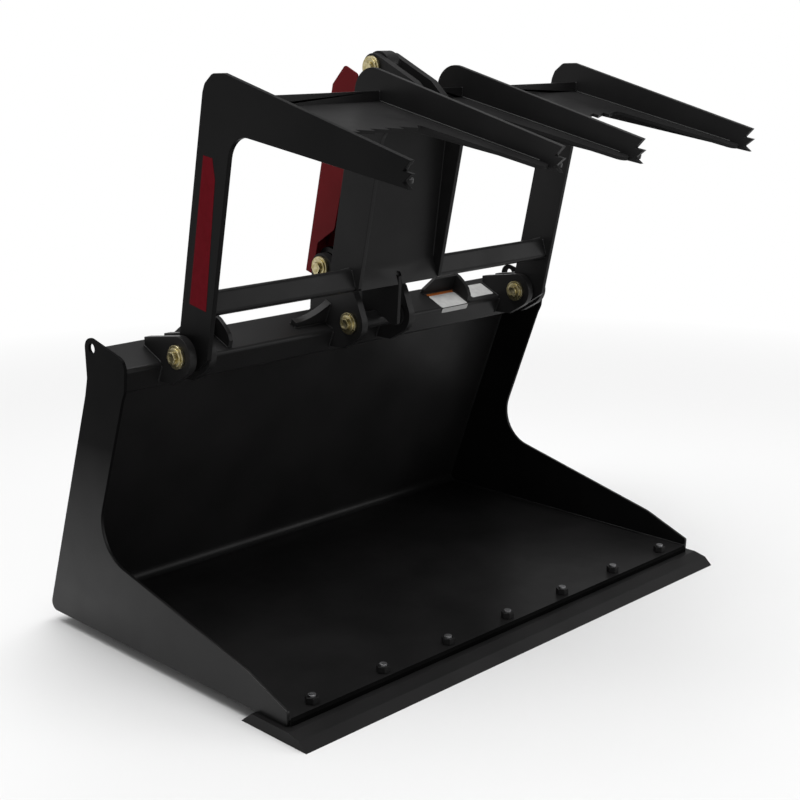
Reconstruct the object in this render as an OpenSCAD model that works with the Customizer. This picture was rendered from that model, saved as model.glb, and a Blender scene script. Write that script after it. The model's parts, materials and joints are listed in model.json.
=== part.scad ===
// Scrap grapple for a compact loader: an open bucket with four curved-back
// clamping tines, one hydraulic cylinder and a quick-attach mounting at the back.
// X runs across the bucket, -Y is the cutting edge, +Z is up, all in millimetres.
// Profiles are drawn as [y, z] or [y, z, corner radius] in the bucket's side view,
// with y measured from the lifting eyes' datum; place() then moves them to the frame.

/* [Bucket] */
// Width over the two side plates
bucket_width = 1496; // [1300:4:1800]
// Thickness of the side plates
side_t = 8; // [6:1:12]
// Thickness of the floor and back sheet
sheet_t = 8; // [6:1:10]
// Lean of the back from the vertical, in degrees
back_lean = 20.7; // [19:0.1:22]
// Radius of the lifting eye's hole
eye_hole_r = 12; // [8:1:14]
// Radius of the throat where the side plate's front edge meets its lip
throat_r = 100; // [60:5:120]

/* [Cutting edge] */
// Length of the bolt-on cutting edge
edge_length = 1524; // [1500:4:1524]
// Number of bolts that hold it
edge_bolt_count = 7; // [5:1:9]
// Thickness of the bolt-on edge, which is also the height of the floor line
edge_t = 28.3; // [25:0.1:30]
// Thickness of the welded base edge
base_edge_t = 16; // [12:1:18]
// Bolt shank radius
edge_bolt_r = 9.5; // [8:0.5:10]

/* [Top tube and ears] */
// Size of the square tube along its sloping top face
tube_top = 108; // [104:1:112]
// Size of the tube down its front face
tube_front = 70; // [66:1:74]
// Tilt of the tube's top face, in degrees
tube_tilt = 25; // [23:0.5:27]
// Wall of the tube
tube_wall = 6; // [4:1:8]
// Thickness of the hinge ears
ear_t = 20; // [16:1:22]
// Radius of the ears round the hinge
ear_r = 48; // [44:1:50]

/* [Pins] */
// Radius of every pin
pin_r = 16; // [14:0.5:18]
// Radius of the pin heads
pin_head_r = 28.5; // [26:0.5:30]
// Thickness of the pin heads
pin_head_t = 8; // [6:1:10]
// Clearance of a pin in what turns on it
pin_fit = 0.05; // [0.02:0.01:0.1]

/* [Grapple] */
// Thickness of the tine plates
tine_t = 12.5; // [10:0.5:16]
// Distance from the middle to the outer tines
outer_tine_x = 597.5; // [590:0.5:605]
// Distance from the middle to the inner tines
inner_tine_x = 143; // [130:1:160]
// Thickness of the cross plates
web_t = 8; // [6:1:12]
// Slope of the cross plates, in degrees
web_slope = 12.8; // [12:0.1:13.5]
// Pitch of the gripping teeth on the cross plates
tooth_pitch = 44; // [36:1:52]
// Depth of the gripping teeth
tooth_depth = 18; // [10:1:24]

/* [Cylinder] */
// Outer radius of the barrel
barrel_r = 38; // [34:1:40]
// Wall of the barrel
barrel_wall = 6; // [5:1:8]
// Radius of the rod
rod_r = 19; // [16:1:22]
// Half width of the guard over the cylinder
guard_x = 62; // [56:1:64]

/* [Mounting] */
// Width of the quick-attach plate
mount_width = 1149; // [1120:1:1160]
// Height of the quick-attach plate
mount_height = 464; // [450:2:470]
// Distance from the middle to each locking slot
mount_slot_x = 508; // [490:2:520]

/* [Hidden] */

$fn = 64;
gap = 0.3;                     // side clearance of what moves between two plates
weld = 0.02;                   // clearance of a round piece welded into a plate
inner_x = bucket_width / 2 - side_t;

// Pivots in the side view
hinge = [-312, 746];
base_pivot = [-207, 880];
rod_pivot = [-350, 1384];
lifting_eye = [-129, 756];

// Side plate
back_foot = [129.4, 59];       // a point on the plate's straight rear edge
floor_z = edge_t + base_edge_t - sheet_t - 2;
nose_y = -801;
edge_bolt_y = -775.5;
base_edge_front = -806;
base_edge_rear = -646;

function on_back(z) = back_foot.x - (z - back_foot.y) * tan(back_lean);

side_outline = [
    [-99, 788, 26], [-101, 680, 30], [on_back(635.7), 635.7, 60], [on_back(edge_t), edge_t, 20],
    [nose_y, edge_t, 8], [nose_y - 2, 64, 5], [-668, 117.5, 80], [-89.6, 252, throat_r],
    [-242.6, 648, 30], [-254, 669.5, 30], [-264, 745, 32]
];

// Top tube, from its sharp top front corner
tube_corner = [-252.5, 720];
tube_u = [cos(tube_tilt), sin(tube_tilt)];
tube_v = [sin(tube_tilt), -cos(tube_tilt)];
tube_round = 10;

function tube_outline(inset, round) = [
    for (s = [[0, 0], [0, 1], [1, 1], [1, 0]])
        let (p = tube_corner + tube_u * (inset + s.x * (tube_top - 2 * inset))
                 + tube_v * (inset + s.y * (tube_front - 2 * inset)))
        [p.x, p.y, round]
];

// Hinge ears
ear_heel = [-182, 775];
ear_chin = [-286, 676];
ear_foot = [-231, 675];
ear_root = [-182, 700];
centre_ear_x = 75;             // inner face of each centre ear
outer_ear_inner = 559;         // faces of the outer pair, measured from the middle
outer_ear_outer = 616;
boss_r = 36;

// Quick-attach mounting, in the leaning frame of the back
mount_low = 60;
mount_t = 10;
mount_face = mount_t - sheet_t; // rear face of the plate, which lies on the inset sheet
mount_top = mount_low + mount_height;
hook_reach = 42;
hook_tip = mount_top - 39;
flange_reach = 62;
flange_drop = 36;
flange_t = 12;
slot_length = 60;
slot_r = 14;

// Tine
tip_y = -1041;
tine_tip = [[-1038, 1232, 0], [-1017, 1211, 0], [tip_y, 1207, 0], [-1017, 1189, 0], [-1034, 1176, 0]];
tine_inside = [-497.5, 1259.5, 60];
tine_toe = [-381, 741];
tine_eye_r = 42;
tine_heel = [[-403, 1344, 6], [-412, 1363, 20], [-440, 1384, 20], [-480, 1385, 6]];
inner_heel = [-415.9, 1402.2, 60];
inner_point = [-404.3, 849, 4];
inner_rear = [-301.6, 888, 10];
bush_r = 26;

// Cross tube and front plate
cross_front_low = [-397, 849];
cross_front_high = [-381, 903];
cross_depth = 60;
cross_wall = 6;
front_plate_t = 10;
front_fold = [-387, 905];
front_top = [-442.4, 1290];
front_low = [-403, 846];
hinge_plate_t = 10;
sleeve_r = 22;
sleeve_collar_r = 30;
sleeve_collar_t = 6;
keyhole_top = 870;
keyhole_r = 9;

// Cross plates
web_root = [-488, 1310];
strip_h = 24.5;
web_front = 201;
web_reach = 535;
leg_wide = 67;
leg_narrow = 36;
leg_round = 8;

// Cylinder
lug_x = 20;
lug_r = 34.5;
cylinder_length = norm(base_pivot - rod_pivot);
cylinder_tilt = atan2(base_pivot.x - rod_pivot.x, rod_pivot.y - base_pivot.y);
rod_eye_r = 40;
barrel_start = 110;
barrel_end = 478;
gland_start = 92;
piston_start = 430;
piston_t = 40;
base_slot = 39;                // travel of the open lower pivot in its slot
base_slot_r = 20.2;            // half width of the slot, over the pin's own radius
base_slot_drop = 1.4;
base_wall = 13;
base_eye_x = 37;

// The frame's origin is on the ground, midway between the tine tips and the rear flange
rear_y = back_foot.x + (mount_face + flange_reach) * cos(back_lean)
         - (mount_low - flange_drop) * sin(back_lean);
frame_y = -(tip_y + rear_y) / 2;

// Points of an arc, from angle a to angle b
function arc(c, r, a, b) =
    let (n = max(2, ceil(abs(b - a) / 9)))
    [for (i = [0:n]) c + r * [cos(a + (b - a) * i / n), sin(a + (b - a) * i / n)]];

// Arc round c that the lines from p and to q touch, anticlockwise
function lobe(c, r, p, q) =
    let (a = atan2(p.y - c.y, p.x - c.x) + acos(r / norm(p - c)),
         b = atan2(q.y - c.y, q.x - c.x) - acos(r / norm(q - c)))
    arc(c, r, a, a + ((b - a) % 360 + 360) % 360);

function unit(v) = v / norm(v);

function flat(p) = [p.x, p.y];

// One corner b of an outline, rounded by its own radius
function corner(a, b, c, r) =
    r <= 0 ? [b] :
    let (u = unit(a - b),
         w = unit(c - b),
         half = acos(u * w) / 2,
         centre = b + unit(u + w) * r / sin(half),
         s = b + u * r / tan(half) - centre,
         e = b + w * r / tan(half) - centre,
         a0 = atan2(s.y, s.x),
         turn = (atan2(e.y, e.x) - a0 + 540) % 360 - 180)
    arc(centre, r, a0, a0 + turn);

// Outline with each corner rounded by the radius given as its third value
function rounded(pts) =
    let (n = len(pts))
    [for (i = [0:n - 1])
        each corner(flat(pts[(i + n - 1) % n]), flat(pts[i]), flat(pts[(i + 1) % n]), pts[i].z)];

// Moves what is drawn in the side view's datum to the frame
module place() {
    translate([0, frame_y, 0])
        children();
}

// Turns a side-view outline into a plate from x to x + t
module plate(x, t) {
    translate([x, 0, 0])
        rotate([90, 0, 90])
            linear_extrude(t)
                children();
}

module both_sides() {
    children();
    mirror([1, 0, 0])
        children();
}

// Round bar along X at a side-view point
module bar(p, x0, x1, r) {
    translate([x0, p.x, p.y])
        rotate([0, 90, 0])
            cylinder(h = x1 - x0, r = r);
}

// Bore along X that runs past both faces
module bore(p, x0, x1, r) {
    bar(p, x0 - 1, x1 + 1, r);
}

// Frame that leans with the back: its Y points to the rear and its Z up the back
module on_back_face() {
    translate([0, back_foot.x, back_foot.y])
        rotate([back_lean, 0, 0])
            children();
}

// Frame on the tube's top face: its Y runs up the slope and its Z off the face
module on_tube() {
    translate([0, tube_corner.x, tube_corner.y])
        rotate([tube_tilt, 0, 0])
            children();
}

// Frame of the cylinder: its origin is the rod pivot and its Z points up the rod
module on_cylinder() {
    translate([0, rod_pivot.x, rod_pivot.y])
        rotate([cylinder_tilt, 0, 0])
            children();
}

// Frame of the cross plates: their top face is Z = 0 and -Y runs down to the tips
module on_web() {
    translate([0, web_root.x, web_root.y])
        rotate([web_slope, 0, 0])
            children();
}

module side_plate() {
    difference() {
        plate(inner_x, side_t)
            polygon(rounded(side_outline));
        bore(lifting_eye, inner_x, inner_x + side_t, eye_hole_r);
    }
}

module side_plate_right() {
    color([0.13, 0.13, 0.14])
        place()
            side_plate();
}

module side_plate_left() {
    color([0.13, 0.13, 0.14])
        place()
            mirror([1, 0, 0])
                side_plate();
}

// The sheet lies one thickness inside the plates' rear edge and is bent at the heel
sheet_in = sheet_t / cos(back_lean);
sheet_top = 725;
heel_r = 28;

function on_sheet(z, depth) = on_back(z) - sheet_in - depth / cos(back_lean);

module sheet_outline() {
    difference() {
        polygon(rounded([
            [base_edge_rear, floor_z, 0], [on_sheet(floor_z, 0), floor_z, heel_r],
            [on_sheet(sheet_top, 0), sheet_top, 0], [on_sheet(sheet_top, sheet_t), sheet_top, 0],
            [on_sheet(floor_z + sheet_t, sheet_t), floor_z + sheet_t, heel_r - sheet_t],
            [base_edge_rear, floor_z + sheet_t, 0]
        ]));
        polygon(rounded(tube_outline(0, tube_round)));
    }
}

module floor_back_sheet() {
    color([0.12, 0.12, 0.13])
        place()
            plate(-inner_x, 2 * inner_x)
                sheet_outline();
}

// Places its children at each edge bolt
module at_edge_bolts() {
    pitch = edge_length / edge_bolt_count;
    for (i = [0:edge_bolt_count - 1])
        translate([(i - (edge_bolt_count - 1) / 2) * pitch, edge_bolt_y, 0])
            children();
}

bolt_head_z = 2;
bolt_head_h = 12;
bolt_head_r = 17;
bolt_gap = 0.4;

// Shank with the sunk head of an edge bolt, grown all round by a clearance
module edge_bolt(grow, bottom, top) {
    translate([0, 0, bottom])
        cylinder(h = top - bottom, r = edge_bolt_r + grow);
    translate([0, 0, bolt_head_z])
        cylinder(h = bolt_head_h, r1 = bolt_head_r + grow, r2 = edge_bolt_r + grow);
    if (bottom < bolt_head_z)
        translate([0, 0, bottom])
            cylinder(h = bolt_head_z - bottom, r = bolt_head_r + grow);
}

base_edge_lip = 6;

module base_edge() {
    color([0.11, 0.11, 0.12])
        place()
            difference() {
                plate(-inner_x, 2 * inner_x)
                    polygon([
                        [base_edge_front, edge_t], [base_edge_rear, edge_t],
                        [base_edge_rear, edge_t + base_edge_t],
                        [base_edge_front + base_edge_lip, edge_t + base_edge_t],
                        [base_edge_front, edge_t + base_edge_t - base_edge_lip]
                    ]);
                at_edge_bolts()
                    edge_bolt(bolt_gap, edge_t - 1, edge_t + base_edge_t + 1);
            }
}

module cutting_edge() {
    color([0.1, 0.1, 0.11])
        place()
            difference() {
                plate(-edge_length / 2, edge_length)
                    polygon([
                        [-879.4, 0], [-662, 0], [-697, edge_t], [-822, edge_t], [-857, 20.5]
                    ]);
                at_edge_bolts()
                    edge_bolt(bolt_gap, -1, edge_t + 1);
            }
}

bolt_end_z = edge_t + base_edge_t + 21;
nut_h = 16;
nut_r = 16.5;

module edge_bolts() {
    color([0.3, 0.3, 0.32])
        place()
            at_edge_bolts()
                edge_bolt(0, bolt_head_z, bolt_end_z);
}

module edge_nuts() {
    color([0.14, 0.14, 0.15])
        place()
            at_edge_bolts()
                translate([0, 0, edge_t + base_edge_t])
                    difference() {
                        cylinder(h = nut_h, r = nut_r, $fn = 6);
                        translate([0, 0, -1])
                            cylinder(h = nut_h + 2, r = edge_bolt_r + 0.1);
                    }
}

runner_w = 76;
runner_front = -640;
runner_rear = 60;
runner_x = 520;

module wear_runners() {
    color([0.11, 0.11, 0.12])
        place()
            for (x = [-runner_x, 0, runner_x])
                plate(x - runner_w / 2, runner_w)
                    polygon([
                        [runner_front, floor_z], [runner_front + floor_z, 0],
                        [runner_rear - floor_z, 0], [runner_rear, floor_z]
                    ]);
}

module top_tube() {
    color([0.13, 0.13, 0.14])
        place()
            plate(-inner_x, 2 * inner_x)
                difference() {
                    polygon(rounded(tube_outline(0, tube_round)));
                    polygon(rounded(tube_outline(tube_wall, tube_round - tube_wall)));
                }
}

// Side view of an outer ear, cut to the tube that it is welded round
module outer_ear_outline() {
    difference() {
        polygon(concat(
            [ear_root, ear_heel], lobe(hinge, ear_r, ear_heel, ear_chin), [ear_chin, ear_foot]));
        polygon(rounded(tube_outline(0, tube_round)));
    }
}

module outer_ears() {
    for (x = [outer_ear_inner, outer_ear_outer])
        difference() {
            plate(x, ear_t)
                outer_ear_outline();
            bore(hinge, x, x + ear_t, pin_r + weld);
        }
}

module hinge_ears_right() {
    color([0.13, 0.13, 0.14])
        place()
            outer_ears();
}

module hinge_ears_left() {
    color([0.13, 0.13, 0.14])
        place()
            mirror([1, 0, 0])
                outer_ears();
}

centre_root = [-160, 705];
centre_heel = [-160, 770];
centre_step = [[-331, 824], [-343, 799]];

// Side view of a centre ear, with the cylinder's lower boss above the hinge
module centre_ear_outline() {
    difference() {
        polygon(concat(
            [centre_root, centre_heel], lobe(base_pivot, boss_r, centre_heel, centre_step[0]),
            centre_step, lobe(hinge, ear_r, centre_step[1], ear_chin), [ear_chin, ear_foot]));
        polygon(rounded(tube_outline(0, tube_round)));
    }
}

module hinge_ears_centre() {
    color([0.13, 0.13, 0.14])
        place()
            both_sides()
                difference() {
                    plate(centre_ear_x, ear_t)
                        centre_ear_outline();
                    bore(hinge, centre_ear_x, centre_ear_x + ear_t, pin_r + weld);
                    bore(base_pivot, centre_ear_x, centre_ear_x + ear_t, pin_r + weld);
                }
}

gusset_t = 20;
gusset_at = 38;
gusset_nose = 15;
gusset_height = 59;
gusset_length = 104;

// Rib that stands across the tube, from a centre ear's face out to its nose
module gusset() {
    on_tube()
        translate([centre_ear_x + ear_t, gusset_at + gusset_t, 0])
            rotate([90, 0, 0])
                linear_extrude(gusset_t)
                    polygon(concat(
                        [[0, 0], [gusset_length, 0], [gusset_length, gusset_nose]],
                        [for (i = [1:8])
                            let (s = i / 8)
                            [gusset_length * (1 - s),
                                gusset_nose + (gusset_height - gusset_nose) * s * s]]));
}

stop_x = 424;
stop_t = 12;
stop_side = [
    [10, 0, 0], [12, 20, 3], [26, 34, 20], [48, 43, 40], [70, 48, 20], [86, 48, 0], [86, 0, 0]
];
stop_back_length = 118;
stop_back_h = [15, 46];        // height of the cross plate at its end and along its top
stop_back_slope = 32;
stop_back_t = 10;

// Rest on the tube under a side bay: a plate along the slope with one across its rear
module tube_stop(x) {
    on_tube() {
        plate(x, stop_t)
            polygon(rounded(stop_side));
        translate([x - stop_back_length, stop_side[5].x, 0])
            rotate([90, 0, 0])
                linear_extrude(stop_back_t)
                    polygon([
                        [0, 0], [stop_back_length, 0], [stop_back_length, stop_back_h[1]],
                        [stop_back_slope, stop_back_h[1]], [0, stop_back_h[0]]
                    ]);
    }
}

module tube_gussets() {
    color([0.13, 0.13, 0.14])
        place() {
            both_sides()
                gusset();
            tube_stop(stop_x);
            tube_stop(-stop_x - stop_t);
        }
}

collar_r = 24;
collar_t = 6;

// Pin with its head at x0 and a collar at x1
module pin(p, x0, x1) {
    bar(p, x0, x1 + collar_t, pin_r);
    bar(p, x0 - pin_head_t, x0, pin_head_r);
    bar(p, x1, x1 + collar_t, collar_r);
}

pin_color = [0.72, 0.58, 0.28];

module hinge_pin_left() {
    color(pin_color)
        place()
            pin(hinge, -outer_ear_outer - ear_t, -outer_ear_inner);
}

module hinge_pin_centre() {
    color(pin_color)
        place()
            pin(hinge, -centre_ear_x - ear_t, centre_ear_x + ear_t);
}

module hinge_pin_right() {
    color(pin_color)
        place()
            pin(hinge, outer_ear_inner, outer_ear_outer + ear_t);
}

module base_pin() {
    color(pin_color)
        place()
            pin(base_pivot, -centre_ear_x - ear_t, centre_ear_x + ear_t);
}

// Plate of the mounting, flat on the rear face of the sheet
module mount_plate() {
    color([0.12, 0.12, 0.13])
        place()
            on_back_face()
                translate([-mount_width / 2, mount_face - mount_t, mount_low])
                    cube([mount_width, mount_t, mount_height]);
}

// Hook under which the carrier's upper edge seats
module mount_hook() {
    color([0.12, 0.12, 0.13])
        place()
            on_back_face()
                plate(-mount_width / 2, mount_width)
                    polygon([
                        [mount_face, mount_top - 15], [mount_face + hook_reach - 10, mount_top - 47],
                        [mount_face + hook_reach, hook_tip], [mount_face + 4, mount_top],
                        [mount_face, mount_top]
                    ]);
}

module flange_outline() {
    low = mount_low - flange_drop;
    polygon([
        [mount_face, mount_low + flange_t], [mount_face, mount_low - 2],
        [mount_face + flange_reach, low], [mount_face + flange_reach, low + flange_t + 2]
    ]);
}

module slot_plan(length, r) {
    square([length - 2 * r, 2 * r], center = true);
    for (s = [-1, 1])
        translate([s * (length / 2 - r), 0])
            circle(r);
}

// Sloping lower flange with a slot for each locking wedge
module mount_flange() {
    slope = atan2(flange_drop, flange_reach);
    color([0.12, 0.12, 0.13])
        place()
            on_back_face()
                difference() {
                    plate(-mount_width / 2, mount_width)
                        flange_outline();
                    for (x = [-mount_slot_x, mount_slot_x])
                        translate([x, mount_face + flange_reach / 2, mount_low - flange_drop / 2])
                            rotate([-slope, 0, 0])
                                translate([0, 0, -2 * flange_t])
                                    linear_extrude(4 * flange_t)
                                        slot_plan(slot_length, slot_r);
                }
}

rib_t = 10;
rib_x = [-mount_width / 2 - rib_t, mount_width / 2];
rib_depth = 30;

// End plates that close the mounting on both sides
module mount_ribs() {
    color([0.12, 0.12, 0.13])
        place()
            on_back_face()
                for (x = rib_x)
                    plate(x, rib_t)
                        polygon(rounded([
                            [-sheet_t, mount_low, 0], [mount_face, mount_low, 0],
                            [mount_face + rib_depth, mount_low + 60, 20],
                            [mount_face + rib_depth, mount_top - 80, 20],
                            [mount_face + hook_reach, hook_tip, 4],
                            [mount_face + 4, mount_top, 0], [-sheet_t, mount_top, 0]
                        ]));
}

module outer_tine_outline() {
    polygon(rounded(concat(
        tine_tip, [tine_inside, [tine_toe.x, tine_toe.y, 6]],
        [for (p = lobe(hinge, tine_eye_r, tine_toe, flat(tine_heel[0]))) [p.x, p.y, 0]],
        tine_heel)));
}

module inner_tine_outline() {
    polygon(rounded(concat(tine_tip, [tine_inside, inner_point, inner_rear, inner_heel])));
}

module outer_tine() {
    difference() {
        plate(outer_tine_x - tine_t / 2, tine_t)
            outer_tine_outline();
        bore(hinge, outer_tine_x - tine_t / 2, outer_tine_x + tine_t / 2, bush_r + weld);
    }
}

module inner_tine() {
    plate(inner_tine_x - tine_t / 2, tine_t)
        inner_tine_outline();
}

module tine_outer_right() {
    color([0.13, 0.13, 0.14])
        place()
            outer_tine();
}

module tine_outer_left() {
    color([0.13, 0.13, 0.14])
        place()
            mirror([1, 0, 0])
                outer_tine();
}

module tine_inner_right() {
    color([0.13, 0.13, 0.14])
        place()
            inner_tine();
}

module tine_inner_left() {
    color([0.13, 0.13, 0.14])
        place()
            mirror([1, 0, 0])
                inner_tine();
}

// Bush through each outer tine, running on its hinge pin between the ears
module tine_bushes() {
    x0 = outer_ear_inner + ear_t + gap;
    x1 = outer_ear_outer - gap;
    color([0.3, 0.3, 0.31])
        place()
            both_sides()
                difference() {
                    bar(hinge, x0, x1, bush_r);
                    bore(hinge, x0, x1, pin_r + pin_fit);
                }
}

// Faces of the bays between the tines
bay_inner = inner_tine_x - tine_t / 2;
bay_outer = outer_tine_x - tine_t / 2;

cross_up = unit(cross_front_high - cross_front_low);
cross_back = [cross_up.y, -cross_up.x];
cross_h = norm(cross_front_high - cross_front_low);
cross_round = 10;

function cross_outline(inset) = [
    for (s = [[0, 0], [1, 0], [1, 1], [0, 1]])
        let (p = cross_front_low + cross_back * (inset + s.x * (cross_depth - 2 * inset))
                 + cross_up * (inset + s.y * (cross_h - 2 * inset)))
        [p.x, p.y, cross_round - inset]
];

module cross_section() {
    difference() {
        polygon(rounded(cross_outline(0)));
        polygon(rounded(cross_outline(cross_wall)));
    }
}

// Rectangular tube in three lengths between the four tines
module cross_tube() {
    color([0.13, 0.13, 0.14])
        place() {
            plate(-bay_inner, 2 * bay_inner)
                cross_section();
            both_sides()
                plate(bay_inner + tine_t, bay_outer - bay_inner - tine_t)
                    cross_section();
        }
}

// Bent plate that closes the front of the centre bay, seen from the side
module front_plate_outline() {
    back = [front_plate_t, 0];
    difference() {
        polygon([
            front_low, front_low + back, front_fold + back, front_top + back, front_top,
            front_fold
        ]);
        polygon(rounded(cross_outline(0)));
    }
}

slot_side = 2;

module front_plate() {
    slot_w = hinge_plate_t / 2 + slot_side;
    color([0.13, 0.13, 0.14])
        place()
            difference() {
                plate(-bay_inner, 2 * bay_inner)
                    front_plate_outline();
                translate([-slot_w, front_low.x - 1, front_low.y - 1])
                    cube([2 * slot_w, cross_depth, keyhole_top - front_low.y + 1]);
                translate([0, front_low.x - 1, keyhole_top])
                    rotate([-90, 0, 0])
                        cylinder(h = cross_depth, r = keyhole_r);
            }
}

// Inner edge and round end of the leg along a tine, with x measured from the tine's face
leg_end_r = leg_narrow / 2;
leg_points = concat(
    [[0, 0]],
    arc([leg_end_r, -web_reach + leg_end_r], leg_end_r, 180, 360),
    corner([leg_narrow, -web_reach], [leg_wide, -web_front], [leg_wide * 2, -web_front], leg_round));

// Plan of one cross plate between two tines, with gripping teeth along its front edge
module web_plan(x0, x1) {
    n = len(leg_points);
    start = x0 + leg_points[n - 1].x;
    run = x1 - x0 - 2 * leg_points[n - 1].x;
    teeth = floor(run / tooth_pitch);
    first = start + (run - teeth * tooth_pitch) / 2;
    polygon(concat(
        [for (p = leg_points) [x0 + p.x, p.y]],
        [for (i = [0:teeth - 1])
            each [
                [first + i * tooth_pitch, -web_front - tooth_depth],
                [first + (i + 1) * tooth_pitch, -web_front]
            ]],
        [for (i = [n - 1:-1:0]) [x1 - leg_points[i].x, leg_points[i].y]]));
}

// Sloping cross plate with the strip bent up along its rear edge
module cross_plate(x0, x1) {
    drop = [0, web_t / cos(web_slope)];
    on_web()
        translate([0, 0, -web_t])
            linear_extrude(web_t)
                web_plan(x0, x1);
    plate(x0, x1 - x0)
        polygon([
            web_root - drop, web_root - drop + [web_t, 0], web_root + [web_t, strip_h],
            web_root + [0, strip_h]
        ]);
}

module cross_plate_right() {
    color([0.14, 0.14, 0.15])
        place()
            cross_plate(bay_inner + tine_t, bay_outer);
}

module cross_plate_left() {
    color([0.14, 0.14, 0.15])
        place()
            mirror([1, 0, 0])
                cross_plate(bay_inner + tine_t, bay_outer);
}

lug_front = [[-533, 1316], [-533, 1291]];
lug_low = [[-438, 1291], [-424, 1180]];
lug_top = [-493, 1353];

// Side view of the lugs that hold the cylinder's upper pin
module lug_outline() {
    difference() {
        polygon(concat(
            lug_front, lug_low, lobe(rod_pivot, lug_r, lug_low[1], lug_top), [lug_top]));
        front_plate_outline();
    }
}

module lug_pair(t) {
    both_sides()
        plate(lug_x, t)
            children();
}

module cross_plate_centre() {
    color([0.14, 0.14, 0.15])
        place()
            difference() {
                cross_plate(-bay_inner, bay_inner);
                lug_pair(ear_t)
                    lug_outline();
            }
}

module cylinder_lugs() {
    color([0.13, 0.13, 0.14])
        place()
            both_sides()
                difference() {
                    plate(lug_x, ear_t)
                        lug_outline();
                    bore(rod_pivot, lug_x, lug_x + ear_t, pin_r + weld);
                }
}

module rod_pin() {
    color(pin_color)
        place()
            pin(rod_pivot, -lug_x - ear_t, lug_x + ear_t);
}

// Plate under the cross tube, seated on the sleeve that turns on the centre pin
module centre_hinge_plates() {
    color([0.13, 0.13, 0.14])
        place()
            difference() {
                plate(-hinge_plate_t / 2, hinge_plate_t)
                    difference() {
                        polygon(rounded([
                            [-402, keyhole_top - 4, 0], [-402, 846, 0], [-394, 741, 6], [-380, 736, 12],
                            [-348, 752, 12], [-330, 756, 0], [-312, 746, 0], [-294, 756, 0],
                            [-266, 772, 8], [-264, 850, 20], [-322, 890, 0]
                        ]));
                        polygon(rounded(cross_outline(0)));
                    }
                bore(hinge, -hinge_plate_t / 2, hinge_plate_t / 2, sleeve_r + weld);
            }
}

module centre_sleeve() {
    x = centre_ear_x - gap;
    color([0.14, 0.14, 0.15])
        place()
            difference() {
                union() {
                    bar(hinge, -x, x, sleeve_r);
                    bar(hinge, -x, -x + sleeve_collar_t, sleeve_collar_r);
                    bar(hinge, x - sleeve_collar_t, x, sleeve_collar_r);
                }
                bore(hinge, -x, x, pin_r + pin_fit);
            }
}

// Round piece along the cylinder, between two distances from the rod pivot
module along(s0, s1, r) {
    translate([0, 0, -s1])
        cylinder(h = s1 - s0, r = r);
}

rod_neck_end = 52;

module rod_eye() {
    x = lug_x - gap;
    color([0.14, 0.14, 0.15])
        place()
            difference() {
                union() {
                    bar(rod_pivot, -x, x, rod_eye_r);
                    on_cylinder()
                        along(0, rod_neck_end, rod_r);
                }
                bore(rod_pivot, -x, x, pin_r + pin_fit);
            }
}

module rod() {
    color([0.75, 0.76, 0.78])
        place()
            on_cylinder()
                along(rod_neck_end, piston_start, rod_r);
}

bore_r = barrel_r - barrel_wall;
piston_fit = 0.08;

module piston() {
    color([0.5, 0.5, 0.52])
        place()
            on_cylinder()
                along(piston_start, piston_start + piston_t, bore_r - piston_fit);
}

module barrel() {
    color([0.11, 0.11, 0.12])
        place()
            on_cylinder()
                difference() {
                    along(barrel_start, barrel_end, barrel_r);
                    along(barrel_start - 1, barrel_end + 1, bore_r);
                }
}

gland_len = 44;
gland_nut_r = 41;

// Gland nut at the barrel's mouth, with the rod running through it
module gland() {
    color([0.13, 0.13, 0.14])
        place()
            on_cylinder()
                difference() {
                    union() {
                        along(gland_start, barrel_start, gland_nut_r);
                        along(barrel_start, barrel_start + gland_len, bore_r - weld);
                    }
                    along(gland_start - 1, barrel_start + gland_len + 1, rod_r + piston_fit);
                }
}

module slot_outline(r) {
    for (y = [0, base_slot])
        translate([y, -cylinder_length - base_slot_drop])
            circle(r);
    translate([0, -cylinder_length - base_slot_drop - r])
        square([base_slot, 2 * r]);
}

// Closed end of the barrel with its lower eye, slotted to the rear for the open pivot
module base_eye() {
    color([0.13, 0.13, 0.14])
        place()
            on_cylinder()
                difference() {
                    union() {
                        along(barrel_end, barrel_end + 22, barrel_r);
                        plate(-base_eye_x, 2 * base_eye_x) {
                            slot_outline(base_slot_r + base_wall);
                            translate([-base_slot_r, -cylinder_length])
                                square([2 * base_slot_r + 14, cylinder_length - barrel_end - 20]);
                        }
                    }
                    plate(-base_eye_x - 1, 2 * base_eye_x + 2)
                        slot_outline(base_slot_r);
                }
}

port_r = 11;
port_reach = 60;
port_hole_r = 6.5;
port_s = [barrel_start + 62, barrel_end - 24];

// Two ports on the barrel's rear side, inside the guard
module cylinder_ports() {
    color([0.35, 0.35, 0.37])
        place()
            on_cylinder()
                for (s = port_s)
                    translate([0, 0, -s])
                        rotate([-90, 0, 0])
                            difference() {
                                cylinder(h = port_reach, r = port_r);
                                translate([0, 0, -1])
                                    cylinder(h = barrel_r + 4, r = port_r + 2);
                                translate([0, 0, barrel_r + 8])
                                    cylinder(h = port_reach, r = port_hole_r);
                            }
}

guard_t = 5;
guard_web = 134;
guard_web_low = 117;
guard_end = 575;
guard_bevel = 25;
guard_side = [
    [30, -24, 12], [79, -16.5, 10], [guard_web + 3, -120, 6], [guard_web, -140, 10],
    [guard_web_low, -guard_end, 3], [66, -guard_end, 6], [66, -485, 12], [14, -430, 20],
    [14, -65, 30]
];

// Cross-section of the guard, grown inwards or outwards by its sheet
module guard_channel(inset) {
    x = guard_x - inset;
    y = guard_web + 4 - inset;
    polygon([
        [-x, -1], [-x, y - guard_bevel], [-x + guard_bevel, y], [x - guard_bevel, y],
        [x, y - guard_bevel], [x, -1]
    ]);
}

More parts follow.
